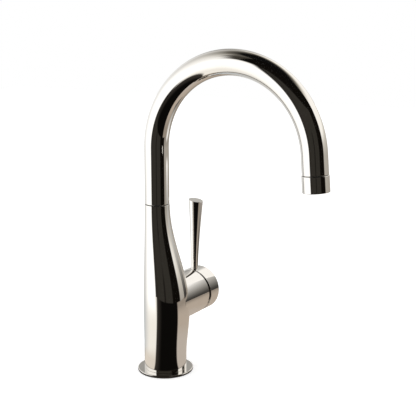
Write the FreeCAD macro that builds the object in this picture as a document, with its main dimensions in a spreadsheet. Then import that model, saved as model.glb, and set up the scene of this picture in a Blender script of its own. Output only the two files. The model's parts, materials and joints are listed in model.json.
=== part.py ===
import FreeCAD, Part
import os
import re

# Kitchen faucet with a swivelling gooseneck, a compact pull-down nozzle and a side lever.
# Frame: origin at the centre of the base on the deck, +Z up, the spout points to -Y and the
# valve barrel to +X. All sizes are millimetres and degrees.

SIZES = {
    # gooseneck
    "tube_radius": 14.0,
    "tube_wall": 1.2,
    "spout_rise": 64.4,
    "bend_radius": 97.9,
    "bend_turn": 175.4,
    "spout_end_length": 21.0,
    # body casting
    "seam_height": 198.3,
    "seam_gap": 0.8,
    "base_radius": 24.6,
    "belly_radius": 26.7,
    "neck_lip": 0.4,
    "base_straight_height": 16.0,
    "belly_height": 74.0,
    "hollow_share": 0.6,
    "neck_overlap": 5.0,
    "rear_lean": 0.8,
    "body_wall": 2.6,
    "neck_wall": 2.1,
    # swivel
    "bush_wall": 1.2,
    "bush_inset": 2.0,
    "upper_bush_length": 10.0,
    "lower_bush_length": 9.0,
    "foot_wall": 2.3,
    "foot_socket": 14.0,
    "snap_depth": 23.2,
    "snap_width": 1.4,
    "snap_bite": 0.5,
    "snap_seat": 0.75,
    "seal_depth": 17.2,
    "seal_section": 0.75,
    "washer_inset": 0.7,
    # valve barrel
    "barrel_radius": 26.4,
    "barrel_setback": 12.0,
    "barrel_height": 82.3,
    "sleeve_end": 51.5,
    "sleeve_wall": 3.6,
    "sleeve_edge": 0.6,
    "pivot_reach": 47.0,
    "ledge_reach": 12.2,
    # handle
    "cap_end": 74.0,
    "cap_front": 8.0,
    "cap_edge": 0.7,
    "rim_gap_top": 1.2,
    "rim_gap_bottom": 8.0,
    "lever_reach": 60.0,
    "lever_foot_radius": 4.1,
    "lever_top_radius": 8.5,
    "lever_length": 85.0,
    "lever_lean": 2.2,
    "lever_slope": 10.0,
    "lever_sunk": 0.6,
    "stud_radius": 3.0,
    "boss_radius": 12.0,
    "boss_offset": 14.0,
    "spindle_width": 8.0,
    "spindle_depth": 2.5,
    "slot_below": 1.6,
    "slot_above": 4.2,
    "knob_radius": 1.8,
    "knob_step": 0.7,
    "knob_neck": 4.0,
    "pin_radius": 2.0,
    "screw_radius": 2.5,
    "screw_offset": 0.5,
    "screw_length": 10.85,
    "plug_radius": 3.2,
    "plug_length": 2.1,
    # deck fixing
    "flange_radius": 32.4,
    "flange_thickness": 3.0,
    "flange_edge": 0.8,
    "gasket_thickness": 1.5,
    "gasket_inset": 2.0,
    "gasket_width": 4.0,
    "shank_radius": 17.0,
    "shank_bore": 15.0,
    "shank_length": 55.0,
    "lead_in_length": 8.0,
    "lead_in_step": 0.5,
    "collar_height": 8.0,
    "clamp_gap": 30.0,
    "clamp_radius": 27.0,
    "rubber_thickness": 3.0,
    "steel_thickness": 2.0,
    "nut_height": 9.0,
    "nut_inset": 1.0,
    # hose
    "hose_radius": 5.0,
    "hose_bore": 3.2,
    "hose_tail": 60.0,
    "ferrule_wall": 1.2,
    "ferrule_length": 6.0,
    "hose_nut_wall": 2.2,
    "hose_nut_length": 14.0,
    "hose_thread_step": 0.5,
    "hose_thread_length": 12.0,
    # nozzle
    "ring_lip": 0.5,
    "ring_height": 17.6,
    "ring_wall": 1.9,
    "ring_web": 2.8,
    "parting_gap": 0.6,
    "dock_wall": 1.2,
    "dock_start": 3.0,
    "stem_start": 4.0,
    "stem_step": 2.0,
    "stem_thread": 4.0,
    "connector_wall": 2.0,
    "connector_end": 13.0,
    "valve_start": 13.5,
    "valve_seat": 2.5,
    "valve_cage": 5.0,
    "cage_bore": 5.6,
    "poppet_radius": 4.4,
    "poppet_thickness": 2.0,
    "aerator_start": 4.1,
    "aerator_bore": 8.0,
    "aerator_washer_height": 1.5,
    "aerator_recess": 0.8,
    "aerator_wall": 1.65,
    # cartridge and waterway
    "seat_setback": 27.0,
    "disc_setback": 19.9,
    "knob_setback": 15.0,
    "shoulder_setback": 9.0,
    "collar_length": 6.0,
    "rotor_overhang": 3.0,
    "cartridge_radius": 17.5,
    "cartridge_wall": 1.9,
    "cartridge_roof": 1.5,
    "collar_radius": 13.0,
    "rotor_radius": 12.0,
    "rotor_flange": 15.0,
    "rotor_head": 11.0,
    "disc_radius": 11.0,
    "disc_thickness": 2.95,
    "channel_radius": 7.2,
    "channel_depth": 1.1,
    "carrier_thickness": 3.2,
    "base_thickness": 3.4,
    "seal_height": 0.6,
    "seal_wall": 1.0,
    "nut_depth": 5.0,
    "nut_bore": 13.2,
    "limit_radius": 16.0,
    "limit_thickness": 2.0,
    "dome_wall": 2.0,
    "dome_reach": 11.0,
    "passage_radius": 2.2,
    "port_radius": 3.5,
    "port_depth": 10.0,
    "block_west": 13.0,
    "block_east": 0.5,
    "block_south": 14.0,
    "block_north": 1.0,
    "block_drop": 18.3,
    "block_rise": 9.7,
    # fits
    "slip": 0.02,
    "running_fit": 0.05,
    "thread_fit": 0.05,
    "play": 0.1,
    "clearance": 0.3,
    "dish_room": 0.5,
    "overrun": 1.0,
}

# Values worked out from the sizes, written once and used by name in the formulas.
DERIVED = {
    "neck_radius": "tube_radius + neck_lip",
    "axis_y": "base_radius - rear_lean - neck_radius",
    "neck_top": "seam_height - seam_gap",
    "neck_bore": "neck_radius - neck_wall",
    "foot_radius": "neck_bore - bush_wall",
    "snap_middle": "neck_top - snap_depth",
    "seal_radius": "neck_bore - seal_section - clearance / 2",
    "shoulder_height": "belly_height + (seam_height - belly_height) * hollow_share",
    "tube_bore": "tube_radius - tube_wall",
    "bend_start": "seam_height + spout_rise",
    "barrel_y": "axis_y - barrel_setback",
    "barrel_top": "barrel_height + barrel_radius",
    "barrel_under": "barrel_height - barrel_radius",
    "sleeve_bore": "barrel_radius - sleeve_wall",
    "dome_radius": "sleeve_bore - clearance",
    "dish_radius": "dome_radius + dish_room",
    "stud_inside": "lever_reach - stud_radius - pivot_reach",
    "stud_base": "barrel_height + sqrt(dish_radius ^ 2 - stud_inside ^ 2) + clearance",
    "rim_middle": "sleeve_end + (rim_gap_top + rim_gap_bottom) / 2",
    "rim_slant": "atan((rim_gap_bottom - rim_gap_top) / (2 * barrel_radius))",
    "seat_face": "pivot_reach - seat_setback",
    "disc_face": "pivot_reach - disc_setback",
    "shoulder_face": "pivot_reach - shoulder_setback",
    "knob_reach": "pivot_reach - knob_setback",
    "base_face": "seat_face + seal_height + base_thickness",
    "carrier_face": "disc_face + running_fit + disc_thickness",
    "carrier_end": "carrier_face + carrier_thickness",
    "housing_end": "shoulder_face + collar_length",
    "head_end": "pivot_reach + rotor_overhang",
    "ring_start": "spout_end_length + parting_gap",
    "ring_end": "ring_start + ring_height",
    "ring_radius": "tube_radius + ring_lip",
    "ring_bore": "ring_radius - ring_wall",
    "dock_bore": "tube_bore - dock_wall",
    "stem_radius": "dock_bore - running_fit",
    "stem_bore": "hose_radius + connector_wall",
    "washer_end": "aerator_start + aerator_washer_height",
    "aerator_core_radius": "ring_bore - running_fit - aerator_wall - running_fit",
    "foot_collar_radius": "base_radius - body_wall - thread_fit",
    "cap_back": "cap_end - cap_front",
    "washer_face": "clamp_gap + rubber_thickness",
    "nut_face": "washer_face + steel_thickness",
    "tail_nut": "hose_tail + ferrule_length",
}

# Where the hot, cold and mixed water passages run: the port's place in the deck plane and
# the height of its drilling above the barrel's axis.
PORTS = {"hot": (-8.5, -4.5, 5.7), "cold": (8.5, -4.5, -6.3), "mixed": (0.0, -9.5, 0.0)}

# Each perforated plate of the aerator: where it starts and ends above the nozzle's top, the
# radius of its holes, and its rows of holes (how many, and at what share of the radius).
AERATOR_PLATES = (("aerator_core", 6.0, 11.5, 0.8, ((12, 0.8), (6, 0.5))),
                  ("aerator_screen", 12.0, 12.6, 1.0, ((14, 0.82), (8, 0.5))))

doc = FreeCAD.newDocument("Faucet")
sheet = doc.addObject("Spreadsheet::Sheet", "Sizes")
pieces = {}


def fill_sheet():
    """One row for each driving size: its name, its value and an alias on the value."""
    for row, (name, value) in enumerate(SIZES.items(), start=1):
        sheet.set(f"A{row}", name)
        sheet.set(f"B{row}", str(value))
        sheet.setAlias(f"B{row}", name)
    doc.recompute()


def spelled_out(formula):
    """Replace derived names by their formulas and sheet names by references to the sheet."""
    def swap(match):
        word = match.group(0)
        if word in DERIVED:
            return "(" + spelled_out(DERIVED[word]) + ")"
        if word in SIZES:
            return "Sizes." + word
        return word
    return re.sub(r"[a-z][a-z_]*", swap, str(formula))


def tie(thing, **formulas):
    """Bind properties to formulas; a double underscore in a key stands for a dot."""
    for key, formula in formulas.items():
        thing.setExpression(key.replace("__", "."), spelled_out(formula))
    return thing


# ---- places: each is an axis that turned pieces stand on ----

def on_deck(thing, start, shift=("0", "0")):
    """Along +Z from the centre of the base."""
    return tie(thing, Placement__Base__x=shift[0], Placement__Base__y=shift[1],
               Placement__Base__z=start)


def on_swivel(thing, start, shift=("0", "0")):
    """Along +Z on the spout's swivel axis."""
    return on_deck(thing, start, (shift[0], f"axis_y + {shift[1]}"))


def on_barrel(thing, start, shift=("0", "0")):
    """Along +X on the valve barrel's axis; the shift is in Y and Z."""
    thing.Placement = FreeCAD.Placement(FreeCAD.Vector(), FreeCAD.Rotation(FreeCAD.Vector(0, 1, 0), 90))
    return tie(thing, Placement__Base__x=start, Placement__Base__y=f"barrel_y + {shift[0]}",
               Placement__Base__z=f"barrel_height + {shift[1]}")


def on_tip(thing, start, shift=("0", "0")):
    """Along the spout's straight end, measured from where the bend stops."""
    thing.Placement = FreeCAD.Placement(FreeCAD.Vector(), FreeCAD.Rotation(FreeCAD.Vector(1, 0, 0), 90))
    turn = "bend_turn * 1deg"
    across = f"({shift[1]})"
    along = f"({start})"
    return tie(thing, Placement__Rotation__Angle="bend_turn", Placement__Base__x=shift[0],
               Placement__Base__y=f"axis_y - bend_radius * (1 - cos({turn})) - sin({turn}) * {along}"
                                  f" + cos({turn}) * {across}",
               Placement__Base__z=f"bend_start + bend_radius * sin({turn}) + cos({turn}) * {along}"
                                  f" + sin({turn}) * {across}")


# ---- primitives and booleans ----

def rod(place, start, end, radius, shift=("0", "0")):
    """A solid cylinder from start to end along a place's axis."""
    solid = doc.addObject("Part::Cylinder", "rod")
    tie(solid, Radius=radius, Height=f"({end}) - ({start})")
    return place(solid, start, shift)


def cone(place, start, end, radius, end_radius):
    solid = doc.addObject("Part::Cone", "cone")
    tie(solid, Radius1=radius, Radius2=end_radius, Height=f"({end}) - ({start})")
    return place(solid, start)


def ball(place, start, radius):
    solid = doc.addObject("Part::Sphere", "ball")
    tie(solid, Radius=radius)
    return place(solid, start)


def donut(place, start, radius, section):
    solid = doc.addObject("Part::Torus", "donut")
    tie(solid, Radius1=radius, Radius2=section)
    return place(solid, start)


def block(low, high):
    """A box between two corners given as formulas."""
    solid = doc.addObject("Part::Box", "block")
    tie(solid, Placement__Base__x=low[0], Placement__Base__y=low[1], Placement__Base__z=low[2])
    return tie(solid, Length=f"({high[0]}) - ({low[0]})", Width=f"({high[1]}) - ({low[1]})",
               Height=f"({high[2]}) - ({low[2]})")


def joined(*solids):
    if len(solids) == 1:
        return solids[0]
    fused = doc.addObject("Part::MultiFuse", "joined")
    fused.Shapes = list(solids)
    return fused


def cut(base, *tools):
    result = doc.addObject("Part::Cut", "cut")
    result.Base = base
    result.Tool = joined(*tools)
    return result


def ring(place, start, end, outer, inner, shift=("0", "0")):
    return cut(rod(place, start, end, outer, shift), rod(place, start, end, inner, shift))


def group(*solids):
    """Several alike solids that share one node."""
    together = doc.addObject("Part::Compound", "group")
    together.Links = list(solids)
    return together


def loft(circles):
    skin = doc.addObject("Part::Loft", "loft")
    skin.Sections = circles
    skin.Solid = True
    return skin


def piece(label, solid):
    """Give a finished solid its own name, which is also the name of its file."""
    solid.Label = label
    pieces[label] = solid


# ---- body casting ----

def body_circle(height, radius, wall):
    """A level circle of the body, whose rear always touches the same leaning line."""
    circle = doc.addObject("Part::Circle", "section")
    rear = f"base_radius - rear_lean * ({height}) / seam_height"
    tie(circle, Radius=f"({radius}) - {wall}")
    return on_deck(circle, height, ("0", f"({rear}) - ({radius})"))


def body_sections(wall, foot, upper_steps, upper_end):
    """Circles from the foot over the belly to the neck; both flanks are half cosine waves."""
    circles = [body_circle(foot, "base_radius", wall)]
    circles.append(body_circle("base_straight_height", "base_radius", wall))
    for step in (1, 2, 3):
        part = step / 4
        height = f"base_straight_height + (belly_height - base_straight_height) * {part}"
        swell = f"(1 - cos(180deg * {part})) / 2"
        radius = f"base_radius + (belly_radius - base_radius) * {swell}"
        circles.append(body_circle(height, radius, wall))
    for step in range(upper_steps + 1):
        part = f"{upper_end} * {step} / {upper_steps}"
        height = f"belly_height + (neck_top - belly_height) * {part}"
        swell = f"(1 - cos(180deg * {part})) / 2"
        radius = f"belly_radius - (belly_radius - neck_radius) * {swell}"
        circles.append(body_circle(height, radius, wall))
    return circles


def make_body():
    shell = loft(body_sections("0", "flange_thickness", 10, "1"))
    barrel = rod(on_barrel, "0", "sleeve_end", "barrel_radius")
    hollow = loft(body_sections("body_wall", "flange_thickness - overrun", 6, "hollow_share"))
    neck_hole = rod(on_swivel, "shoulder_height - neck_overlap", "neck_top + overrun", "neck_bore")
    snap_groove = rod(on_swivel, "snap_middle - snap_width / 2 - 2 * play",
                      "snap_middle + snap_width / 2 + 2 * play", "neck_bore + snap_bite + play")
    valve_hole = rod(on_barrel, "ledge_reach", "sleeve_end + overrun", "sleeve_bore")
    rim_break = cone(on_barrel, "sleeve_end - sleeve_edge", "sleeve_end + play",
                     "sleeve_bore", "sleeve_bore + sleeve_edge + play")
    piece("body_casting", cut(joined(shell, barrel), hollow, neck_hole, snap_groove, valve_hole, rim_break))


def make_deck_fixing():
    step = "flange_thickness - flange_edge"
    disc = joined(rod(on_deck, "0", step, "flange_radius"),
                  cone(on_deck, step, "flange_thickness", "flange_radius", "flange_radius - flange_edge"))
    outer, inner = "flange_radius - gasket_inset", "flange_radius - gasket_inset - gasket_width"
    gasket_groove = ring(on_deck, "-overrun", "gasket_thickness", outer, inner)
    shank_hole = rod(on_deck, "-overrun", "flange_thickness + overrun", "shank_radius + clearance")
    piece("deck_flange", cut(disc, gasket_groove, shank_hole))
    piece("base_gasket", ring(on_deck, "0", "gasket_thickness", outer, inner))

    collar_end = "flange_thickness + collar_height"
    lead_in_end = "-shank_length + lead_in_length"
    collar = rod(on_deck, "flange_thickness", collar_end, "foot_collar_radius")
    stem = rod(on_deck, lead_in_end, "flange_thickness", "shank_radius")
    lead_in = rod(on_deck, "-shank_length", lead_in_end, "shank_radius - lead_in_step")
    bore = rod(on_deck, "-shank_length - overrun", f"{collar_end} + overrun", "shank_bore")
    hose_way = rod(on_swivel, "-shank_length - overrun", f"{collar_end} + overrun", "hose_radius + clearance")
    piece("threaded_shank", cut(joined(collar, stem, lead_in), bore, hose_way))

    hole = "shank_radius + clearance"
    piece("under_deck_rubber_washer", ring(on_deck, "-washer_face", "-clamp_gap", "clamp_radius", hole))
    piece("under_deck_steel_washer", ring(on_deck, "-nut_face", "-washer_face", "clamp_radius", hole))
    nut = doc.addObject("Part::Prism", "hexagon")
    nut.Polygon = 6
    tie(nut, Circumradius="clamp_radius - nut_inset", Height="nut_height")
    on_deck(nut, "-nut_face - nut_height")
    thread = rod(on_deck, "-nut_face - nut_height - overrun", "-nut_face + overrun",
                 "shank_radius + thread_fit")
    piece("mounting_nut", cut(nut, thread))


def make_waterway_block():
    """Brass block that takes hot and cold water from the supply hoses to the cartridge."""
    height = "barrel_height"
    core = block(("-block_west", "-block_south", f"{height} - block_drop"),
                 ("ledge_reach + block_east", "block_north", f"{height} + block_rise"))
    seat = rod(on_barrel, "ledge_reach", "seat_face", "sleeve_bore - 2 * play")
    port_top = f"{height} - block_drop + port_depth"
    drillings = []
    for east, north, rise in PORTS.values():
        place = (str(east), str(north))
        drillings.append(rod(on_deck, f"{height} - block_drop - overrun", port_top, "port_radius", place))
        drillings.append(rod(on_deck, f"{port_top} - overrun / 2", f"{height} + {rise}",
                             "passage_radius", place))
        aside = (f"{north} - (barrel_y)", str(rise))
        drillings.append(rod(on_barrel, str(east), "seat_face + overrun", "passage_radius", aside))
    piece("waterway_block", cut(joined(core, seat), *drillings))


# ---- swivel joint ----

def make_swivel():
    bore = "foot_radius + running_fit"
    piece("upper_swivel_bush", ring(on_swivel, "neck_top - bush_inset - upper_bush_length",
                                    "neck_top - bush_inset", "neck_bore", bore))
    piece("lower_swivel_bush", ring(on_swivel, "shoulder_height + bush_inset",
                                    "shoulder_height + bush_inset + lower_bush_length", "neck_bore", bore))

    lower = rod(on_swivel, "shoulder_height - overrun", "seam_height", "foot_radius")
    upper = rod(on_swivel, "seam_height", "seam_height + foot_socket", "tube_bore - thread_fit")
    bore = rod(on_swivel, "shoulder_height - 2 * overrun", "seam_height + foot_socket + overrun",
               "foot_radius - foot_wall")
    outside = "foot_radius + overrun"
    half = "(snap_width / 2)"
    snap_groove = ring(on_swivel, f"snap_middle - {half} - play", f"snap_middle + {half} + play", outside,
                       "foot_radius - snap_seat - running_fit")
    middle = "(neck_top - seal_depth)"
    room = "(seal_section + clearance - running_fit)"
    seal_groove = ring(on_swivel, f"{middle} - {room}", f"{middle} + {room}", outside,
                       "seal_radius - seal_section - running_fit")
    piece("spout_foot", cut(joined(lower, upper), bore, snap_groove, seal_groove))

    piece("spout_snap_ring", ring(on_swivel, f"snap_middle - {half}", f"snap_middle + {half}",
                                  "neck_bore + snap_bite", "foot_radius - snap_seat"))
    piece("swivel_o_ring", donut(on_swivel, middle, "seal_radius", "seal_section"))
    piece("seam_washer", ring(on_swivel, "neck_top + running_fit", "seam_height",
                              "tube_radius - washer_inset", "foot_radius + slip"))


# ---- gooseneck, hose ----

def gooseneck(start, end, radius):
    """A round bar that rises, bends over towards -Y and runs out along the straight end."""
    rise = rod(on_swivel, start, "bend_start", radius)
    bend = doc.addObject("Part::Torus", "bend")
    turn_up = FreeCAD.Rotation(FreeCAD.Vector(1, 1, 1), 120)
    bend.Placement = FreeCAD.Placement(FreeCAD.Vector(), turn_up)
    tie(bend, Radius1="bend_radius", Radius2=radius, Angle3="bend_turn")
    on_swivel(bend, "bend_start", ("0", "(-bend_radius)"))
    return joined(rise, bend, rod(on_tip, "0", end, radius))


def make_spout():
    outer = gooseneck("seam_height", "spout_end_length", "tube_radius")
    inner = gooseneck("seam_height - overrun", "spout_end_length + overrun", "tube_bore")
    piece("spout_tube", cut(outer, inner))
    piece("docking_sleeve", ring(on_tip, "dock_start", "spout_end_length - clearance - play", "tube_bore",
                                 "dock_bore"))


def make_hose():
    """The spray hose runs the whole way; it is split where the spout swivels."""
    hose_end = "stem_start - clearance - play"
    outer = gooseneck("shoulder_height", hose_end, "hose_radius")
    inner = gooseneck("shoulder_height - overrun", f"{hose_end} + overrun", "hose_bore")
    piece("hose_in_spout", cut(outer, inner))
    piece("hose_in_body", ring(on_swivel, "-hose_tail", "shoulder_height - play", "hose_radius", "hose_bore"))
    nut_end = "-tail_nut - hose_nut_length"
    thread_top = f"{nut_end} + hose_thread_length"
    ferrule = rod(on_swivel, "-tail_nut", "-hose_tail", "hose_radius + ferrule_wall")
    nut = rod(on_swivel, nut_end, "-tail_nut", "hose_radius + hose_nut_wall")
    thread = rod(on_swivel, f"{nut_end} - overrun", thread_top, "hose_radius + hose_thread_step")
    bore = rod(on_swivel, f"{thread_top} - overrun", "-hose_tail + overrun", "hose_bore")
    piece("hose_end_fitting", cut(joined(ferrule, nut), thread, bore))


# ---- pull-down nozzle ----

def make_nozzle():
    web = "ring_start + ring_web"
    shell = rod(on_tip, "ring_start", "ring_end", "ring_radius")
    cavity = rod(on_tip, web, "ring_end + overrun", "ring_bore")
    stem_hole = rod(on_tip, "ring_start - overrun", f"{web} + play", "stem_radius - stem_step")
    piece("nozzle_shell", cut(shell, cavity, stem_hole))
    piece("nozzle_buffer_ring", ring(on_tip, "spout_end_length + running_fit", "ring_start",
                                     "tube_radius - washer_inset", "stem_radius + slip"))

    thread_end = "ring_start + stem_thread"
    stem = rod(on_tip, "stem_start", "ring_start", "stem_radius")
    screwed = rod(on_tip, "ring_start", thread_end, "stem_radius - stem_step - thread_fit")
    bore = rod(on_tip, "stem_start - overrun", f"{thread_end} + overrun", "stem_bore")
    piece("nozzle_stem", cut(joined(stem, screwed), bore))
    fit = "stem_bore - thread_fit"
    piece("hose_connector", ring(on_tip, "stem_start - 2 * play", "connector_end", fit, "hose_bore"))
    cage_start = "valve_start + valve_seat"
    seat = ring(on_tip, "valve_start", cage_start, fit, "hose_bore")
    cage = ring(on_tip, cage_start, f"{cage_start} + valve_cage", fit, "cage_bore")
    piece("check_valve_body", joined(seat, cage))
    piece("check_valve_poppet", rod(on_tip, cage_start, f"{cage_start} + poppet_thickness", "poppet_radius"))

    outer = "ring_bore - running_fit"
    piece("aerator_washer", ring(on_tip, "ring_start + aerator_start", "ring_start + washer_end", outer,
                                 "aerator_bore"))
    piece("aerator_housing", ring(on_tip, "ring_start + washer_end", "ring_end - aerator_recess", outer,
                                  f"{outer} - aerator_wall"))
    for label, start, end, hole, rows in AERATOR_PLATES:
        begin = f"ring_start + {start}"
        finish = f"ring_start + {end}"
        holes = []
        for count, share in rows:
            for index in range(count):
                angle = f"360deg * {index} / {count}"
                across = tuple(f"aerator_core_radius * {share} * {turn}({angle})"
                               for turn in ("cos", "sin"))
                holes.append(rod(on_tip, f"{begin} - overrun", f"{finish} + overrun", str(hole), across))
        piece(label, cut(rod(on_tip, begin, finish, "aerator_core_radius"), *holes))


# ---- cartridge ----

def port_holes(start, end, radius):
    """Three holes in line with the waterway block's passages."""
    return [rod(on_barrel, start, end, radius, (f"{north} - (barrel_y)", str(rise)))
            for _, north, rise in PORTS.values()]


def make_cartridge():
    room_radius = "(cartridge_radius - cartridge_wall)"
    seal_end = "seat_face + seal_height"
    rings = [ring(on_barrel, "seat_face", seal_end, "passage_radius + seal_wall", "passage_radius",
                  (f"{north} - (barrel_y)", str(rise))) for _, north, rise in PORTS.values()]
    piece("cartridge_base_seals", group(*rings))
    plate = rod(on_barrel, seal_end, "base_face", "cartridge_radius - play")
    piece("cartridge_base", cut(plate, *port_holes("seat_face", "base_face + overrun", "passage_radius")))
    disc = rod(on_barrel, "base_face", "disc_face", f"{room_radius} - play")
    piece("fixed_ceramic_disc", cut(disc, *port_holes("base_face - overrun", "disc_face + overrun",
                                                      "passage_radius")))

    can = rod(on_barrel, "base_face", "shoulder_face", "cartridge_radius")
    collar = rod(on_barrel, "shoulder_face", "housing_end", "collar_radius")
    room = rod(on_barrel, "base_face - overrun", "shoulder_face - cartridge_roof", room_radius)
    neck = rod(on_barrel, "shoulder_face - 2 * overrun", "housing_end + overrun",
               "rotor_radius + running_fit")
    piece("cartridge_housing", cut(joined(can, collar), room, neck))

    moving = rod(on_barrel, "disc_face + running_fit", "carrier_face", "disc_radius")
    channel = rod(on_barrel, "disc_face - overrun", "disc_face + channel_depth", "channel_radius")
    piece("moving_ceramic_disc", cut(moving, channel))
    carrier = rod(on_barrel, "carrier_face", "carrier_end", "disc_radius")
    pocket = rod(on_barrel, "carrier_face - overrun", "carrier_end + overrun", "knob_radius + running_fit")
    piece("disc_carrier", cut(carrier, pocket))

    roof = "shoulder_face - cartridge_roof - play"
    flange = rod(on_barrel, "carrier_end + clearance", roof, "rotor_flange")
    stem = rod(on_barrel, roof, "housing_end", "rotor_radius")
    head = rod(on_barrel, "housing_end", "head_end", "rotor_head")
    side = "(spindle_width / 2 + play)"
    half = "(spindle_width / 2)"
    slot = block(("disc_face", f"barrel_y - {side}", f"barrel_height - {half} - slot_below"),
                 ("head_end + overrun", f"barrel_y + {side}", f"barrel_height + {half} + slot_above"))
    piece("cartridge_rotor", cut(joined(flange, stem, head), slot, pivot_rod("pin_radius", "rotor_radius")))
    piece("pivot_pin", pivot_rod("pin_radius", "(rotor_head - 2 * clearance)"))

    piece("cartridge_nut", ring(on_barrel, "shoulder_face", "shoulder_face + nut_depth",
                                "sleeve_bore - thread_fit", "nut_bore"))
    piece("temperature_limit_ring", ring(on_barrel, "housing_end", "housing_end + limit_thickness",
                                         "limit_radius", "rotor_head + dish_room"))
    dome = cut(ball(on_barrel, "pivot_reach", "dome_radius"),
               ball(on_barrel, "pivot_reach", "dome_radius - dome_wall"))
    band = doc.addObject("Part::Common", "band")
    band.Base = dome
    band.Tool = rod(on_barrel, "shoulder_face + nut_depth", "pivot_reach + dome_reach", "barrel_radius")
    piece("dome_cover", band)


def pivot_rod(radius, half_length):
    """A rod along Y through the point that the lever tips about."""
    bar = doc.addObject("Part::Cylinder", "pivot")
    bar.Placement = FreeCAD.Placement(FreeCAD.Vector(), FreeCAD.Rotation(FreeCAD.Vector(1, 0, 0), -90))
    tie(bar, Radius=radius, Height=f"2 * {half_length}")
    return on_deck(bar, "barrel_height", ("pivot_reach", f"barrel_y - {half_length}"))


# ---- handle ----

def make_spindle():
    half = "(spindle_width / 2)"
    bar = block(("knob_reach + knob_neck", f"barrel_y - {half}", f"barrel_height - {half}"),
                ("cap_back + spindle_depth", f"barrel_y + {half}", f"barrel_height + {half}"))
    knob = ball(on_barrel, "knob_reach", "knob_radius")
    throat = rod(on_barrel, "knob_reach + overrun", "knob_reach + knob_neck + overrun",
                 "knob_radius - knob_step")
    hole = pivot_rod("pin_radius + running_fit", "spindle_width")
    piece("spindle", cut(joined(bar, knob, throat), hole))


def make_handle_cap():
    drum = rod(on_barrel, "sleeve_end - 2 * overrun", "cap_end - cap_edge", "barrel_radius")
    front = cone(on_barrel, "cap_end - cap_edge", "cap_end", "barrel_radius", "barrel_radius - cap_edge")
    dish = ball(on_barrel, "pivot_reach", "dish_radius")
    trim = doc.addObject("Part::Cylinder", "rim_trim")
    trim.Placement = FreeCAD.Placement(FreeCAD.Vector(), FreeCAD.Rotation(FreeCAD.Vector(0, 1, 0), -90))
    tie(trim, Radius="2 * barrel_radius", Height="barrel_radius",
        Placement__Rotation__Angle="-90 - rim_slant / 1deg")
    on_deck(trim, "barrel_height", ("rim_middle", "barrel_y"))
    boss = rod(on_barrel, "pivot_reach + boss_offset", "cap_back + cap_front / 2", "boss_radius")
    half = "(spindle_width / 2 + slip)"
    socket = block(("pivot_reach + boss_offset - overrun", f"barrel_y - {half}", f"barrel_height - {half}"),
                   ("cap_back + spindle_depth + play", f"barrel_y + {half}", f"barrel_height + {half}"))
    stud_hole = rod(on_deck, "stud_base - play", "barrel_top + overrun", "stud_radius + thread_fit",
                    ("lever_reach", "barrel_y"))
    place = ("cap_back + screw_offset", "barrel_y")
    screw_hole = rod(on_deck, "barrel_under - overrun", "barrel_height", "screw_radius + thread_fit", place)
    plug_top = "barrel_under + clearance + plug_length"
    plug_hole = rod(on_deck, "barrel_under - overrun", plug_top, "plug_radius", place)
    hollowed = cut(joined(drum, front), dish, trim)
    piece("handle_cap", cut(joined(hollowed, boss), socket, stud_hole, screw_hole, plug_hole))
    screw_top = "barrel_height - spindle_width / 2 - running_fit"
    piece("handle_grub_screw", rod(on_deck, f"{screw_top} - screw_length", screw_top, "screw_radius", place))
    piece("grub_screw_plug", rod(on_deck, "barrel_under + clearance", plug_top, "plug_radius", place))


def make_lever():
    """A round bar that flares towards its top, straight at the back and oblique at the end."""
    foot = "(barrel_top - lever_sunk)"
    circles = []
    steps = 6
    for step in range(steps + 1):
        share = step / steps
        flare = round(share ** 1.4, 4)
        circle = doc.addObject("Part::Circle", "section")
        tie(circle, Radius=f"lever_foot_radius + (lever_top_radius - lever_foot_radius) * {flare}")
        on_deck(circle, f"{foot} + lever_length * {share}",
                ("lever_reach", f"barrel_y - lever_lean * {flare}"))
        circles.append(circle)
    circles[-1].Placement = FreeCAD.Placement(FreeCAD.Vector(), FreeCAD.Rotation(FreeCAD.Vector(1, 0, 0), 10))
    tie(circles[-1], Placement__Rotation__Angle="lever_slope")
    stud = rod(on_deck, "stud_base", f"{foot} + overrun", "stud_radius", ("lever_reach", "barrel_y"))
    cap_drum = rod(on_barrel, "sleeve_end", "cap_end", "barrel_radius + slip")
    bar = cut(loft(circles), cap_drum)
    piece("lever", joined(bar, stud))


def check_and_write():
    """Refuse to write anything if an object failed or a piece has no sound solid."""
    doc.recompute()
    for thing in doc.Objects:
        if "Invalid" in thing.State or "Error" in thing.State:
            raise RuntimeError(f"{thing.Label} failed: {thing.State}")
    for label, solid in pieces.items():
        shape = solid.Shape
        if shape.isNull() or not shape.isValid() or not shape.Solids:
            raise RuntimeError(f"{label} has no valid solid")
    os.makedirs("parts", exist_ok=True)
    for label, solid in pieces.items():
        solid.Shape.exportStep(f"parts/{label}.step")
        print(label, len(solid.Shape.Solids), round(solid.Shape.Volume, 1))


fill_sheet()
make_body()
make_deck_fixing()
make_waterway_block()
make_swivel()
make_spout()
make_hose()
make_nozzle()
make_cartridge()
make_spindle()
make_handle_cap()
make_lever()
check_and_write()
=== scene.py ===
import json
import math

import bpy
from mathutils import Matrix, Vector


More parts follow.
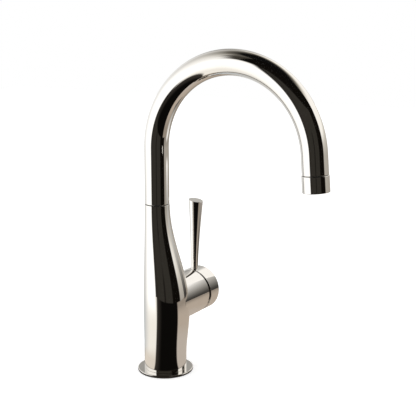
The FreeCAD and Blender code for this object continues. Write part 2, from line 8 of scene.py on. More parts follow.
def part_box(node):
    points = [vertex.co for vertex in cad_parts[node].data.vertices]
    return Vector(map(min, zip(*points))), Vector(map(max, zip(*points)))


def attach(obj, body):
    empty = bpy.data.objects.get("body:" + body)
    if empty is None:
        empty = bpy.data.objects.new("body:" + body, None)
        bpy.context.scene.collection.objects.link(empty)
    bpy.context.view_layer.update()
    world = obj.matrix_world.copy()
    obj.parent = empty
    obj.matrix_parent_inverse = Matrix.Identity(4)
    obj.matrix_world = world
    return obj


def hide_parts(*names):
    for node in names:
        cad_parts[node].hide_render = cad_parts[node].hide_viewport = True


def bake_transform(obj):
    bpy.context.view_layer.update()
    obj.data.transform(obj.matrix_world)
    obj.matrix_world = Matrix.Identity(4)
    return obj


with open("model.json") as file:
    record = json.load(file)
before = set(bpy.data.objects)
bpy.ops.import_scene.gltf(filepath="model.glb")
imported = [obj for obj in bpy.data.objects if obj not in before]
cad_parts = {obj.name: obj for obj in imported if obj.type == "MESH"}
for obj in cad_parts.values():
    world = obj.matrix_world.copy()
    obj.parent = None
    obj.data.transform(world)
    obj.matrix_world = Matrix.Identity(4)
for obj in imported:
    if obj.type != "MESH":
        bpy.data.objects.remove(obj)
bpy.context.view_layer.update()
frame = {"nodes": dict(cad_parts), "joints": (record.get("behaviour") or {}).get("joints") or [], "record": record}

mm = 0.001
sharpAngle = math.radians(30)
smoothAngle = math.radians(40)


def jointNamed(name):
    return next(joint for joint in frame["joints"] if joint["name"] == name)


# places taken from the frame
upWay = Vector((0, 0, 1))
sideWay = Vector((1, 0, 0))
swivelSpot = Vector(jointNamed("spout_swivel")["pos_m"])
pivotSpot = Vector(jointNamed("flow_lift")["pos_m"])
pullWay = Vector(jointNamed("nozzle_pull")["axis"]).normalized()
barrelSpot = Vector((0, pivotSpot.y, pivotSpot.z))
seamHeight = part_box("spout_tube")[0].z
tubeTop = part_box("spout_tube")[1].z
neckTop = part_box("body_casting")[1].z
flangeRim, _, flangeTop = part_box("deck_flange")[1]


class Wire:
    # a node's socket that can stand in sums; add() makes any other node
    def __init__(self, tree, socket):
        self.tree = tree
        self.socket = socket

    def add(self, kind, settings=None, output=0, **sockets):
        made = self.tree.nodes.new("ShaderNode" + kind)
        for key, value in (settings or {}).items():
            if key == "stops":
                elements = made.color_ramp.elements
                while len(elements) < len(value):
                    elements.new(0.5)
                for element, (place, colour) in zip(elements, value):
                    element.position = place
                    element.color = (*colour, 1)
            else:
                setattr(made, key, value)
        for key, value in sockets.items():
            # i3 means the socket at place 3, any other key is the socket's name
            place = int(key[1:]) if key[1:].isdigit() else key.replace("_", " ")
            self.join(value, made.inputs[place])
        return Wire(self.tree, made.outputs[output])

    def join(self, value, socket):
        if isinstance(value, Wire):
            self.tree.links.new(value.socket, socket)
        else:
            socket.default_value = value

    def maths(self, operation, first, second=0.0):
        return self.add("Math", {"operation": operation}, i0=first, i1=second)

    def __add__(self, other):
        return self.maths("ADD", self, other)

    def __radd__(self, other):
        return self.maths("ADD", other, self)

    def __sub__(self, other):
        return self.maths("SUBTRACT", self, other)

    def __rsub__(self, other):
        return self.maths("SUBTRACT", other, self)

    def __mul__(self, other):
        return self.maths("MULTIPLY", self, other)

    def __rmul__(self, other):
        return self.maths("MULTIPLY", other, self)

    def __truediv__(self, other):
        return self.maths("DIVIDE", self, other)

    def noise(self, scale, detail=3.0, stretch=(1, 1, 1)):
        # scale counts patches in a metre, stretch multiplies it along each axis
        spots = self.add("Mapping", Vector=self, Scale=stretch)
        return spots.add("TexNoise", Vector=spots, Scale=scale, Detail=detail)

    def blend(self, first, second):
        # first colour where this is 0, second where it is 1
        return self.add("Mix", {"data_type": "RGBA"}, output=2, i0=self, i6=first, i7=second)

    def bump(self, strength, distance=0.0002):
        return self.add("Bump", Height=self, Strength=strength, Distance=distance)

    def ramp(self, start, end):
        # rises smoothly from 0 at start to 1 at end, and falls where end is the lower one
        return self.add("MapRange", {"interpolation_type": "SMOOTHSTEP"}, Value=self, i1=start, i2=end)


def newMaterial(name):
    material = bpy.data.materials.new(name)
    material.use_nodes = True
    tree = material.node_tree
    spots = Wire(tree, None).add("TexCoord", output=3)
    return material, spots, tree.nodes["Principled BSDF"]


def feed(spots, shader, **sockets):
    for key, value in sockets.items():
        spots.join(value, shader.inputs[key.replace("_", " ")])


# polished nickel plate: a warm mirror with faint wipe marks and hairline polishing scratches; the two inner shades
# are the same nickel painted almost black, painted shade for the dome that shows in the gap under the handle
nickelLook = {"bright": (0.84, 0.82, 0.79, 1), "dull": (0.78, 0.755, 0.715, 1), "rough": 0.03,
              "wipes": 28.0, "smudge": 0.045, "hairs": 900.0, "scratch": 0.012, "relief": 0.015,
              "gapShadeBright": (0.06, 0.056, 0.052, 1), "gapShadeDull": (0.035, 0.033, 0.03, 1)}


def makeNickel(name, bright, dull):
    look = nickelLook
    material, spots, shader = newMaterial(name)
    wiped = spots.noise(look["wipes"], 4.0, (1, 1, 0.35)).ramp(0.45, 0.8)
    hair = spots.noise(look["hairs"], 2.0, (1, 1, 0.04))
    feed(spots, shader, Metallic=1.0, Base_Color=(wiped * 0.5).blend(bright, dull),
         Roughness=look["rough"] + wiped * look["smudge"] + hair * look["scratch"],
         Normal=hair.bump(look["relief"]))
    return material


brassLook = {"bright": (0.80, 0.62, 0.30, 1), "stained": (0.62, 0.45, 0.20, 1), "rough": 0.22,
             "stains": 60.0, "stain": 0.14, "turns": 420.0, "turning": 0.06, "relief": 0.15}


def makeBrass():
    look = brassLook
    material, spots, shader = newMaterial("machinedBrass")
    turning = spots.noise(look["turns"], 2.0, (0.2, 0.2, 8))
    stain = spots.noise(look["stains"], 4.0)
    feed(spots, shader, Metallic=1.0, Base_Color=stain.blend(look["bright"], look["stained"]),
         Roughness=look["rough"] + stain * look["stain"] + turning * look["turning"],
         Normal=turning.bump(look["relief"]))
    return material


steelLook = {"light": (0.64, 0.64, 0.62, 1), "dark": (0.52, 0.52, 0.51, 1), "rough": 0.24,
             "clouds": 45.0, "turns": 500.0, "turning": 0.14, "relief": 0.12}


def makeSteel():
    look = steelLook
    material, spots, shader = newMaterial("turnedSteel")
    turning = spots.noise(look["turns"], 2.0, (1, 1, 12))
    cloud = spots.noise(look["clouds"])
    feed(spots, shader, Metallic=1.0, Base_Color=cloud.blend(look["light"], look["dark"]),
         Roughness=look["rough"] + turning * look["turning"], Normal=turning.bump(look["relief"]))
    return material


rubberLook = {"dark": (0.012, 0.012, 0.012, 1), "bloomed": (0.035, 0.034, 0.032, 1), "rough": 0.55,
              "blooms": 90.0, "bloom": 0.2, "grains": 1500.0, "relief": 0.25}


def makeRubber():
    look = rubberLook
    material, spots, shader = newMaterial("blackRubber")
    bloom = spots.noise(look["blooms"])
    grain = spots.noise(look["grains"], 2.0)
    feed(spots, shader, Base_Color=bloom.blend(look["dark"], look["bloomed"]),
         Roughness=look["rough"] + bloom * look["bloom"], Normal=grain.bump(look["relief"]))
    return material


# each plastic's light and dark shade
plasticLook = {"white": ((0.80, 0.80, 0.77, 1), (0.70, 0.70, 0.66, 1)),
               "dark": ((0.035, 0.035, 0.038, 1), (0.06, 0.06, 0.065, 1)),
               "red": ((0.50, 0.04, 0.035, 1), (0.38, 0.03, 0.03, 1)), "rough": 0.36, "flows": 70.0,
               "flow": 0.12, "grains": 2200.0, "relief": 0.12}


def makePlastic(shade):
    # moulded acetal: nearly even, with a faint flow pattern and a fine eroded grain
    look = plasticLook
    material, spots, shader = newMaterial(shade + "Acetal")
    flow = spots.noise(look["flows"])
    grain = spots.noise(look["grains"], 2.0)
    feed(spots, shader, Base_Color=flow.blend(*look[shade]), Roughness=look["rough"] + flow * look["flow"],
         Normal=grain.bump(look["relief"], 0.0001))
    return material


ceramicLook = {"light": (0.93, 0.92, 0.87, 1), "dark": (0.86, 0.84, 0.78, 1), "rough": 0.12,
               "specks": 1800.0, "speck": 0.05}


def makeCeramic():
    look = ceramicLook
    material, spots, shader = newMaterial("lappedCeramic")
    speck = spots.noise(look["specks"], 2.0)
    feed(spots, shader, Base_Color=speck.blend(look["light"], look["dark"]),
         Roughness=look["rough"] + speck * look["speck"])
    return material


braidLook = {"low": (0.10, 0.10, 0.105, 1), "high": (0.42, 0.42, 0.43, 1), "rough": 0.5,
             "threads": 3200.0, "strands": 2600.0, "strand": 0.2, "relief": 0.5}


def makeBraid():
    # braided sheath: two sets of slanting threads that pass over and under each other
    look = braidLook
    material, spots, shader = newMaterial("braidedSheath")
    across = spots.add("SeparateXYZ", Vector=spots)
    along = spots.add("SeparateXYZ", output=2, Vector=spots)
    left = spots.maths("SINE", (across + along) * look["threads"])
    right = spots.maths("SINE", (across - along) * look["threads"])
    weave = left * right
    strand = spots.noise(look["strands"], 2.0)
    feed(spots, shader, Base_Color=weave.ramp(-1.0, 1.0).blend(look["low"], look["high"]),
         Roughness=look["rough"] + strand * look["strand"],
         Normal=(weave + strand * 0.4).bump(look["relief"], 0.0004))
    return material


nickel = makeNickel("polishedNickel", nickelLook["bright"], nickelLook["dull"])
# painted shade: nickel darkened almost to black, so the dome in the gap under the handle reads as shade
gapShadeNickel = makeNickel("paintedShadeNickel", nickelLook["gapShadeBright"], nickelLook["gapShadeDull"])
finishes = {
    "polished_nickel": nickel,
    "brass": makeBrass(),
    "stainless_steel": makeSteel(),
    "black_rubber": makeRubber(),
    "white_plastic": makePlastic("white"),
    "dark_plastic": makePlastic("dark"),
    "red_plastic": makePlastic("red"),
    "ceramic": makeCeramic(),
    "hose_sheath": makeBraid(),
}
print("materials made")


def dressNodes():
    for entry in frame["record"]["subparts"]:
        mesh = frame["nodes"][entry["node"]].data
        mesh.materials.clear()
        mesh.materials.append(finishes[entry["material_slot"]])


dressNodes()
print("frame dressed")


def pickOnly(*objects):
    bpy.ops.object.select_all(action="DESELECT")
    for thing in objects:
        thing.select_set(True)
    bpy.context.view_layer.objects.active = objects[0]


def startRing(name, sides, radius, centre, filled=False):
    # a level ring of points, left in edit mode and selected
    bpy.ops.object.select_all(action="DESELECT")
    bpy.ops.mesh.primitive_circle_add(vertices=sides, radius=radius, location=centre,
                                      fill_type="NGON" if filled else "NOTHING")
    piece = bpy.context.object
    piece.name = name
    piece.data.name = name
    bpy.ops.object.mode_set(mode="EDIT")
    bpy.ops.mesh.select_all(action="SELECT")
    return piece


def nextRing(shift, growth, centre):
    bpy.ops.mesh.extrude_region_move(TRANSFORM_OT_translate={"value": tuple(shift)})
    if abs(growth - 1) > 1e-6:
        bpy.ops.transform.resize(value=(growth, growth, 1), center_override=tuple(centre))


def closeLoops():
    # bridges the two open ends of a skin
    bpy.ops.mesh.select_all(action="DESELECT")
    bpy.ops.mesh.select_mode(type="EDGE")
    bpy.ops.mesh.select_non_manifold()
    bpy.ops.mesh.bridge_edge_loops()


def leaveEditing():
    bpy.ops.mesh.select_all(action="SELECT")
    bpy.ops.mesh.normals_make_consistent(inside=False)
    bpy.ops.object.mode_set(mode="OBJECT")


def settle(piece):
    pickOnly(piece)
    bpy.ops.object.transform_apply(location=True, rotation=True, scale=True)


def standAlong(piece, spot, way):
    # a piece made along Z gets its zero at spot and points along way
    turn = upWay.rotation_difference(way).to_matrix().to_4x4()
    piece.matrix_world = Matrix.Translation(spot) @ turn @ piece.matrix_world
    settle(piece)


def turned(name, outline, spot, way, sides=128, solid=False):
    # an outline of (place along, radius) pairs in millimetres, turned about its axis
    along, radius = outline[0]
    piece = startRing(name, sides, radius * mm, (0, 0, along * mm), filled=solid)
    for nextAlong, nextRadius in outline[1:]:
        nextRing((0, 0, (nextAlong - along) * mm), nextRadius / radius, (0, 0, nextAlong * mm))
        along, radius = nextAlong, nextRadius
    if not solid:
        closeLoops()
    leaveEditing()
    standAlong(piece, spot, way)
    return piece


def applied(piece, kind, **settings):
    modifier = piece.modifiers.new(kind, kind)
    for key, value in settings.items():
        setattr(modifier, key, value)
    pickOnly(piece)
    bpy.ops.object.modifier_apply(modifier=modifier.name)


def bevelled(piece, width, segments=3):
    applied(piece, "BEVEL", width=width * mm, segments=segments, limit_method="ANGLE",
            angle_limit=sharpAngle)


def eased(piece, width, segments=3):
    # rounds the sharp edges and keeps flat and round faces shading cleanly
    if width:
        bevelled(piece, width, segments)
    pickOnly(piece)
    bpy.ops.object.shade_smooth_by_angle(angle=smoothAngle)
    applied(piece, "WEIGHTED_NORMAL", keep_sharp=True, weight=60)


def assign(piece, body, slot, material, *nodes):
    piece.data.materials.clear()
    piece.data.materials.append(material)
    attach(piece, body)
    if nodes:
        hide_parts(*nodes)


# body: straight foot, then half cosine waves out to the belly and in to the neck; the rear line
# leans forward evenly all the way up
bodyLook = {"base": 24.6, "belly": 26.7, "neck": 14.4, "straightTo": 16.0, "bellyAt": 74.0, "lean": 0.8,
            "wall": 2.1, "edge": 0.35, "rings": 46, "sides": 160}
barrelLook = {"radius": 26.4, "wall": 3.6, "start": 0.0, "end": 51.5, "edge": 0.35, "sides": 160}


def bodyRadius(height):
    look = bodyLook
    if height <= look["straightTo"]:
        return look["base"]
    if height <= look["bellyAt"]:
        share = (height - look["straightTo"]) / (look["bellyAt"] - look["straightTo"])
        return look["base"] + (look["belly"] - look["base"]) * (1 - math.cos(math.pi * share)) / 2
    share = (height - look["bellyAt"]) / (neckTop / mm - look["bellyAt"])
    return look["belly"] - (look["belly"] - look["neck"]) * (1 - math.cos(math.pi * share)) / 2


def bodyCentre(height):
    rear = bodyLook["base"] - bodyLook["lean"] * height / (seamHeight / mm)
    return Vector((0, rear - bodyRadius(height), height)) * mm


def makeBody():
    look = bodyLook
    low = flangeTop / mm
    high = neckTop / mm
    heights = [low + (high - low) * step / look["rings"] for step in range(look["rings"] + 1)]
    centre = bodyCentre(low)
    shell = startRing("body_shell", look["sides"], bodyRadius(low) * mm, centre)
    for before, height in zip(heights, heights[1:]):
        after = bodyCentre(height)
        nextRing(after - centre, bodyRadius(height) / bodyRadius(before), after)
        centre = after
    leaveEditing()
    settle(shell)
    applied(shell, "SOLIDIFY", thickness=look["wall"] * mm, offset=-1.0)
    eased(shell, look["edge"])

    look = barrelLook
    bore = look["radius"] - look["wall"]
    outline = [(look["start"], bore), (look["start"], look["radius"]), (look["end"], look["radius"]),
               (look["end"], bore)]
    barrel = turned("valve_barrel", outline, barrelSpot, sideWay, look["sides"])
    eased(barrel, look["edge"])
    pickOnly(shell, barrel)
    bpy.ops.object.join()
    assign(shell, "faucet_body", "polished_nickel", nickel, "body_casting")


flangeLook = {"hole": 17.3, "edge": 0.9, "sides": 160}


def makeFlange():
    look = flangeLook
    rim = flangeRim / mm
    top = flangeTop / mm
    outline = [(0, look["hole"]), (0, rim), (top, rim), (top, look["hole"])]
    flange = turned("deck_flange_plate", outline, Vector((0, 0, 0)), upWay, look["sides"])
    eased(flange, look["edge"], 4)
    assign(flange, "faucet_body", "polished_nickel", nickel, "deck_flange")


makeBody()
makeFlange()
print("body and flange made")


# hollow shank: the thread runs from the lead-in up to the flange
shankLook = {"low": -55.0, "bore": 15.0, "leadIn": 16.5, "threadLow": -47.0, "threadHigh": -3.0,
             "crest": 17.0, "root": 16.25, "pitch": 1.6, "collarLow": 3.0, "collarHigh": 11.0,
             "collar": 21.95, "sides": 96,
             # shares of the pitch, and the radius at each
             "ridge": ((0.1, "root"), (0.45, "crest"), (0.65, "crest"), (1.0, "root"))}


def makeShank():
    look = shankLook
    outline = [(look["low"], look["bore"]), (look["low"], look["leadIn"]),
               (look["threadLow"], look["leadIn"])]
    place = look["threadLow"]
    while place + look["pitch"] < look["threadHigh"]:
        outline += [(place + look["pitch"] * share, look[radius]) for share, radius in look["ridge"]]
        place += look["pitch"]
    outline += [(look["threadHigh"], look["crest"]), (look["collarLow"], look["crest"]),
                (look["collarLow"], look["collar"]), (look["collarHigh"], look["collar"]),
                (look["collarHigh"], look["bore"])]
    shank = turned("hollow_shank", outline, Vector((0, 0, 0)), upWay, look["sides"])
    eased(shank, 0)
    assign(shank, "faucet_body", "brass", finishes["brass"], "threaded_shank")


nutLook = {"low": -44.0, "height": 9.0, "corner": 26.0, "hole": 17.05, "cornerCut": 24.3, "cutSlope": 0.6,
           "sides": 96}


def makeNut():
    # a hexagon whose corners are turned down at both faces
    look = nutLook
    half = look["height"] / 2
    middle = Vector((0, 0, (look["low"] + half) * mm))
    straight = half - (look["corner"] - look["cornerCut"]) * look["cutSlope"]
    outline = [(-half, look["cornerCut"]), (-straight, look["corner"]), (straight, look["corner"]),
               (half, look["cornerCut"])]
    nut = turned("deck_nut", outline, middle, upWay, look["sides"], solid=True)
    for operation, sides, radius, turn in (("INTERSECT", 6, look["corner"], math.radians(30)),
                                           ("DIFFERENCE", look["sides"], look["hole"], 0)):
        bpy.ops.object.select_all(action="DESELECT")
        bpy.ops.mesh.primitive_cylinder_add(vertices=sides, radius=radius * mm, location=middle,
                                            depth=look["height"] * 2 * mm, rotation=(0, 0, turn))
        tool = bpy.context.object
        applied(nut, "BOOLEAN", operation=operation, object=tool, solver="EXACT")
        bpy.data.objects.remove(tool)
    eased(nut, 0)
    assign(nut, "faucet_body", "brass", finishes["brass"], "mounting_nut")


makeShank()
makeNut()
print("deck fixing made")


spoutLook = {"radius": 14.0, "wall": 1.2, "bendRadius": 97.9, "bendTurn": 175.4, "endLength": 21.0,
             "sides": 128, "bendSteps": 128, "edge": 0.3}
bendReach = spoutLook["bendRadius"] * mm
bendTurn = math.radians(spoutLook["bendTurn"])
bendCentre = Vector((0, swivelSpot.y - bendReach, tubeTop - spoutLook["radius"] * mm - bendReach))
bendEnd = bendCentre + Vector((0, math.cos(bendTurn), math.sin(bendTurn))) * bendReach


def makeSpout():
    look = spoutLook
    start = Vector((0, swivelSpot.y, seamHeight))
    tube = startRing("spout_gooseneck", look["sides"], look["radius"] * mm, start)
    nextRing((0, 0, bendCentre.z - seamHeight), 1, start)
    bpy.ops.mesh.spin(steps=look["bendSteps"], angle=bendTurn, center=tuple(bendCentre), axis=(-1, 0, 0))
    nextRing(pullWay * look["endLength"] * mm, 1, start)
    bpy.ops.mesh.select_all(action="SELECT")
    bpy.ops.mesh.remove_doubles(threshold=1e-6)
    leaveEditing()
    settle(tube)
    applied(tube, "SOLIDIFY", thickness=look["wall"] * mm, offset=-1.0)
    eased(tube, look["edge"])
    assign(tube, "spout", "polished_nickel", nickel, "spout_tube")


nozzleLook = {"start": 21.6, "end": 39.2, "radius": 14.5, "bore": 12.6, "stem": 9.5, "web": 2.8,
              "edge": 0.5}


def makeNozzleRing():
    look = nozzleLook
    web = look["start"] + look["web"]
    outline = [(look["start"], look["stem"]), (look["start"], look["radius"]),
               (look["end"], look["radius"]), (look["end"], look["bore"]), (web, look["bore"]),
               (web, look["stem"])]
    ring = turned("nozzle_ring", outline, bendEnd, pullWay)
    eased(ring, look["edge"])
    assign(ring, "nozzle", "polished_nickel", nickel, "nozzle_shell")


makeSpout()
makeNozzleRing()
print("spout and nozzle made")


capLook = {"radius": 26.4, "end": 74.0, "start": 47.5, "sleeveEnd": 51.5, "gapTop": 1.2, "gapBottom": 8.0,
           "dish": 23.0, "dishSides": 96, "dishRings": 64, "edge": 0.7, "sides": 160}
domeLook = {"outer": 22.5, "wall": 2.0, "low": -4, "high": 11, "steps": 10}
leverLook = {"reach": 60.0, "foot": 4.1, "top": 8.5, "length": 85.0, "lean": 2.2, "flare": 1.4,
             "slope": 10.0, "sunk": 0.6, "root": 1.0, "spare": 4.0, "steps": 24, "sides": 96, "edge": 0.45}


def makeCap():
    look = capLook
    drum = turned("handle_drum", [(look["start"], look["radius"]), (look["end"], look["radius"])],
                  barrelSpot, sideWay, look["sides"], solid=True)
    # the rim leans, so that the handle can tip back without touching the barrel
    middle = look["sleeveEnd"] + (look["gapTop"] + look["gapBottom"]) / 2
    slant = math.atan((look["gapBottom"] - look["gapTop"]) / (2 * look["radius"]))
    bpy.ops.object.mode_set(mode="EDIT")
    bpy.ops.mesh.select_all(action="SELECT")
    bpy.ops.mesh.bisect(plane_co=tuple(barrelSpot + sideWay * middle * mm),
                        plane_no=(math.cos(slant), 0, math.sin(slant)), use_fill=True, clear_inner=True)
    leaveEditing()
    bevelled(drum, look["edge"], 4)
    bpy.ops.object.select_all(action="DESELECT")
    bpy.ops.mesh.primitive_uv_sphere_add(segments=look["dishSides"], ring_count=look["dishRings"],
                                         radius=look["dish"] * mm, location=pivotSpot)
    dish = bpy.context.object
    applied(drum, "BOOLEAN", operation="DIFFERENCE", object=dish, solver="EXACT")
    bpy.data.objects.remove(dish)
    eased(drum, 0)
    assign(drum, "handle", "polished_nickel", nickel, "handle_cap")


def makeDome():
    look = domeLook
    inner = look["outer"] - look["wall"]
    rise = (look["high"] - look["low"]) / look["steps"]
    along = [look["low"] + rise * step for step in range(look["steps"] + 1)]
    outline = [(place, math.sqrt(look["outer"] ** 2 - place ** 2)) for place in along]
    outline += [(place, math.sqrt(inner ** 2 - place ** 2)) for place in reversed(along)]
    dome = turned("dome_shell", outline, pivotSpot, sideWay)
    eased(dome, 0)
    # the dome wears the nickel painted almost black: painted shade in the handle's gap
    assign(dome, "faucet_body", "polished_nickel", gapShadeNickel, "dome_cover")


def leverPlace(share, sunk=0.0):
    # the bar's middle at a share of its length: its back stays straight while it flares
    look = leverLook
    foot = pivotSpot.z / mm + capLook["radius"] - look["sunk"] - sunk
    flare = share ** look["flare"]
    return Vector((look["reach"] * mm, pivotSpot.y - look["lean"] * flare * mm,
                   (foot + look["length"] * share) * mm))


def makeLever():
    look = leverLook
    radius = look["foot"]
    centre = leverPlace(0, look["root"])
    bar = startRing("lever_bar", look["sides"], radius * mm, centre, filled=True)
    for step in range(look["steps"] + 1):
        share = step / look["steps"]
        after = leverPlace(share)
        wide = look["foot"] + (look["top"] - look["foot"]) * share ** look["flare"]
        nextRing(after - centre, wide / radius, after)
        centre, radius = after, wide
    nextRing(upWay * look["spare"] * mm, 1, centre)
    leaveEditing()
    settle(bar)
    slope = math.radians(look["slope"])
    bpy.ops.object.mode_set(mode="EDIT")
    bpy.ops.mesh.select_all(action="SELECT")
    bpy.ops.mesh.bisect(plane_co=tuple(leverPlace(1)), plane_no=(0, -math.sin(slope), math.cos(slope)),
                        use_fill=True, clear_outer=True)
    leaveEditing()
    eased(bar, look["edge"])
    assign(bar, "handle", "polished_nickel", nickel, "lever")


makeCap()
makeDome()
makeLever()
print("handle made")


# the stretch of hose that shows only while the nozzle is pulled out
hoseLook = {"start": 0.4, "end": 3.7, "radius": 4.9, "bore": 3.2, "rings": 48, "sides": 64}


def makePulledHose():
    look = hoseLook
    step = (look["end"] - look["start"]) / look["rings"]
    outline = [(look["start"] + step * place, look["radius"]) for place in range(look["rings"] + 1)]
    outline += [(look["end"], look["bore"]), (look["start"], look["bore"])]
    hose = turned("pulled_hose", outline, bendEnd, pullWay, look["sides"])
    bpy.ops.object.shade_smooth_by_angle(angle=smoothAngle)
    hose.data.materials.append(finishes["hose_sheath"])
    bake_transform(hose)


makePulledHose()
print("hose made")


cameraLook = {"spot": (-0.8394, -0.5782, 0.4119), "way": (0.8315, 0.5144, -0.2095), "lens": 79.1,
              "sensor": 36}


def makeCamera():
    data = bpy.data.cameras.new("camera")
    data.lens = cameraLook["lens"]
    data.sensor_width = cameraLook["sensor"]
    camera = bpy.data.objects.new("camera", data)
    bpy.context.scene.collection.objects.link(camera)
    camera.location = cameraLook["spot"]
    camera.rotation_euler = Vector(cameraLook["way"]).to_track_quat("-Z", "Y").to_euler()
    bpy.context.scene.camera = camera


floorLook = {"size": 6.0, "colour": (0.9, 0.9, 0.9, 1), "rough": 0.9, "glow": 0.35}


def makeFloor():
    bpy.ops.object.select_all(action="DESELECT")
    bpy.ops.mesh.primitive_plane_add(size=floorLook["size"], location=(0, 0, 0))
    floor = bpy.context.object
    floor.name = "floor"
    material, spots, shader = newMaterial("paleFloor")
    feed(spots, shader, Base_Color=floorLook["colour"], Roughness=floorLook["rough"],
         Emission_Color=(1, 1, 1, 1), Emission_Strength=floorLook["glow"])
    floor.data.materials.append(material)
    floor.visible_glossy = False


# Directions round the faucet: side is in degrees from its front, to the right as the camera sees
# it, and height is in degrees above the level.
studioLook = {"front": 211.7, "bright": 1.35, "dimmer": 0.38, "lowDimmer": 0.24, "lowHeights": (-2, -16),
              "dimSides": (-95, -140), "wallSides": (-20, 20), "rearSides": (160, 174),
              "rearHeights": (4, 40), "rearSoft": 14, "rear": (0.40, 0.39, 0.37, 1), "room": (1, 1, 1, 1)}
# glow of the backdrop behind and to the left, then of the light wall to the right, from straight
# down to straight up
leftGlow = [(-85, (0.09, 0.08, 0.065)), (-70, (0.28, 0.265, 0.235)), (-50, (0.78, 0.76, 0.71)),
            (-30, (0.95, 0.94, 0.91)), (-5, (1.0, 1.0, 0.995)), (15, (1.0, 1.0, 0.99)),
            (30, (0.80, 0.79, 0.77)), (42, (0.62, 0.605, 0.57)), (52, (0.38, 0.365, 0.33)),
            (60, (0.14, 0.13, 0.11)), (70, (0.004, 0.004, 0.004))]
rightGlow = [(-80, (0.22, 0.19, 0.155)), (-30, (0.33, 0.28, 0.23)), (-24, (0.22, 0.195, 0.17)),
             (-12, (0.28, 0.255, 0.225)), (-3, (0.37, 0.345, 0.31)), (5, (0.50, 0.475, 0.43)),
             (13, (0.84, 0.82, 0.78)), (36, (0.84, 0.82, 0.79)), (46, (0.56, 0.53, 0.47)),
             (53, (0.2, 0.185, 0.155)), (60, (0.05, 0.045, 0.038)), (66, (0.004, 0.004, 0.004))]
# dark flats in front of those: where their edges are, how soft these are, and their colour
darkFlats = [
    {"side": (-82, -50), "height": (42, 62), "soft": (10, 8), "glow": (0.085, 0.078, 0.066, 1)},
    {"side": (-70, -50), "height": (29, 64), "soft": (8, 8), "glow": (0.05, 0.045, 0.036, 1)},
    {"side": (-61, 79), "height": (32, 95), "soft": (4, 6), "glow": (0.004, 0.0035, 0.003, 1)},
    {"side": (-51, 77), "height": (-30, 60), "soft": (6, 8), "glow": (0.005, 0.004, 0.003, 1)},
    {"side": (-46, 46), "height": (-95, -20), "soft": (8, 8), "glow": (0.004, 0.0035, 0.003, 1)},
    {"side": (-46, 36), "height": (-22, 35), "soft": (5, 4), "glow": (0.034, 0.031, 0.026, 1)},
    {"side": (-41, -37), "height": (-22, 30), "soft": (3, 9), "glow": (0.026, 0.023, 0.019, 1)},
    {"side": (-5, 2), "height": (-22, 9), "soft": (4, 9), "glow": (0.014, 0.012, 0.010, 1)},
]


def band(value, edges, soft):
    # 1 between the two edges, 0 outside them
    low, high = edges
    return value.ramp(low - soft / 2, low + soft / 2) * value.ramp(high + soft / 2, high - soft / 2)


def sideOf(way):
    # turns a direction's ahead and right parts into degrees round the faucet
    way = way.add("Mapping", Vector=way, Rotation=(0, 0, -math.radians(studioLook["front"])))
    ahead, right, rise = [way.add("SeparateXYZ", output=place, Vector=way) for place in range(3)]
    return way.maths("ARCTAN2", right, ahead) * math.degrees(1), rise


def skyOf(share, glows):
    stops = [((height + 90) / 180, colour) for height, colour in glows]
    return share.add("ValToRGB", {"stops": stops}, Fac=share)


def makeWorld():
    look = studioLook
    world = bpy.data.worlds.new("studio")
    bpy.context.scene.world = world
    world.use_nodes = True
    tree = world.node_tree
    way = Wire(tree, None).add("TexCoord")
    side, rise = sideOf(way)
    height = way.maths("ARCSINE", rise) * math.degrees(1)
    share = (height + 90) / 180
    glow = side.ramp(*look["wallSides"]).blend(skyOf(share, leftGlow), skyOf(share, rightGlow))
    behind = side.maths("ABSOLUTE", side).ramp(*look["rearSides"])
    glow = (behind * band(height, look["rearHeights"], look["rearSoft"])).blend(glow, look["rear"])
    dimmer = look["dimmer"] + height.ramp(*look["lowHeights"]) * look["lowDimmer"]
    bright = look["bright"] - dimmer * side.ramp(*look["dimSides"])
    glow = glow.add("VectorMath", {"operation": "SCALE"}, i0=glow, Scale=bright)
    for flat in darkFlats:
        mask = band(side, flat["side"], flat["soft"][0]) * band(height, flat["height"], flat["soft"][1])
        glow = mask.blend(glow, flat["glow"])
    # only the metal's mirror images see all this; soft even light does the rest
    glow = way.add("LightPath", output=3).blend(look["room"], glow)
    background = tree.nodes["Background"]
    way.join(glow, background.inputs["Color"])
    background.inputs["Strength"].default_value = 1.0


# colours of the table top, then the sides and the reaches in metres between which they change; shade is a painted
# contact shadow round the faucet's foot
tableLook = {"radius": 0.72, "drop": 0.0005, "sides": 96, "warm": (0.52, 0.44, 0.365, 1),
             "far": (0.34, 0.29, 0.24, 1), "lit": (0.56, 0.495, 0.435, 1), "cool": (0.58, 0.605, 0.62, 1),
             "pale": (1.05, 1.01, 0.94, 1), "cream": (0.82, 0.75, 0.66, 1), "grey": (0.38, 0.36, 0.34, 1),
             "fold": (0.04, 0.034, 0.029, 1), "black": (0.004, 0.0035, 0.003, 1),
             "shade": (0.035, 0.03, 0.025, 1), "cloth": (-45, 57), "clothSoft": 6, "foldSides": (-46, -16),
             "coolSides": (-75, -150), "rearSides": (110, 150), "openSides": (-56, -44),
             "creamReach": (0.10, 0.065), "farReach": (0.2, 0.5), "litReach": (0.16, 0.09),
             "contactShadowReach": (0.043, 0.037), "openReach": (0.15, 0.40)}


def hideButInMirror(thing):
    thing.visible_camera = False
    thing.visible_diffuse = False
    thing.visible_shadow = False
    thing.visible_transmission = False


def glowing(name):
    material, spots, shader = newMaterial(name)
    feed(spots, shader, Base_Color=(0, 0, 0, 1), Roughness=1.0, Specular_IOR_Level=0.0,
         Emission_Strength=1.0)
    return material, spots, shader


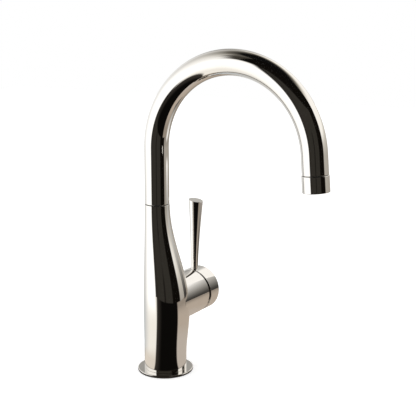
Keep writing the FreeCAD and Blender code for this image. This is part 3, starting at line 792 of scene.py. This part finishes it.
def makeTable():
    # the table top that the metal mirrors, a glow seen only in mirror images and so a painted reflection: black
    # cloth in front, pale to the left, warm to the right
    look = tableLook
    bpy.ops.object.select_all(action="DESELECT")
    bpy.ops.mesh.primitive_circle_add(vertices=look["sides"], radius=look["radius"],
                                      location=(0, 0, -look["drop"]), fill_type="NGON")
    table = bpy.context.object
    table.name = "mirroredTable"
    material, spots, shader = glowing("glowingTableTop")
    side, _ = sideOf(spots)
    reach = spots.add("VectorMath", {"operation": "LENGTH"}, output=1, i0=spots)
    rear = side.maths("ABSOLUTE", side).ramp(*look["rearSides"])
    pale = side.ramp(*look["coolSides"]).blend(look["pale"], look["cool"])
    left = reach.ramp(*look["creamReach"]).blend(pale, rear.blend(look["cream"], look["grey"]))
    right = reach.ramp(*look["farReach"]).blend(look["warm"], look["far"])
    right = reach.ramp(*look["litReach"]).blend(right, look["lit"])
    cloth = side.ramp(*look["foldSides"]).blend(look["fold"], look["black"])
    glow = side.ramp(*studioLook["wallSides"]).blend(left, right)
    glow = band(side, look["cloth"], look["clothSoft"]).blend(glow, cloth)
    # painted contact shadow: a dark ring on the table round the flange
    glow = reach.ramp(*look["contactShadowReach"]).blend(glow, look["shade"])
    away = (1 - side.ramp(*look["openSides"])) * reach.ramp(*look["openReach"])
    feed(spots, shader, Emission_Color=glow, Alpha=1 - away)
    table.data.materials.append(material)
    hideButInMirror(table)


# glow of the card at heights in millimetres above the table
cardLook = {"spot": (0.165, -0.115), "width": 0.09, "turn": 53, "fade": (1.0, 0.9),
            "glow": [(61, (0.047, 0.043, 0.040)), (80, (0.075, 0.070, 0.063)), (107, (0.19, 0.18, 0.165)),
                     (133, (0.35, 0.335, 0.31)), (160, (0.53, 0.515, 0.49)), (186, (0.76, 0.74, 0.71)),
                     (212, (1.1, 1.08, 1.05)), (225, (1.15, 1.13, 1.10))]}


def makeCard():
    # a glowing card beside the barrel, seen only in mirror images, so a painted reflection; its glow is darker
    # towards its foot
    look = cardLook
    low, high = look["glow"][0][0] * mm, look["glow"][-1][0] * mm
    bpy.ops.object.select_all(action="DESELECT")
    bpy.ops.mesh.primitive_plane_add(size=1, location=(0, 0, 0))
    card = bpy.context.object
    card.name = "sideCard"
    card.matrix_world = (Matrix.Translation((*look["spot"], (low + high) / 2))
                         @ Matrix.Rotation(math.radians(look["turn"]), 4, "Z")
                         @ Matrix.Rotation(math.radians(90), 4, "X")
                         @ Matrix.Diagonal((look["width"], high - low, 1, 1)))
    settle(card)
    material, spots, shader = glowing("glowingCard")
    share = (spots.add("SeparateXYZ", output=2, Vector=spots) - low) / (high - low)
    stops = [((height * mm - low) / (high - low), colour) for height, colour in look["glow"]]
    feed(spots, shader, Emission_Color=share.add("ValToRGB", {"stops": stops}, Fac=share),
         Alpha=share.ramp(*look["fade"]))
    card.data.materials.append(material)
    hideButInMirror(card)


makeCamera()
makeFloor()
makeWorld()
makeTable()
makeCard()
bpy.context.scene.view_settings.view_transform = "Standard"
print("studio made")
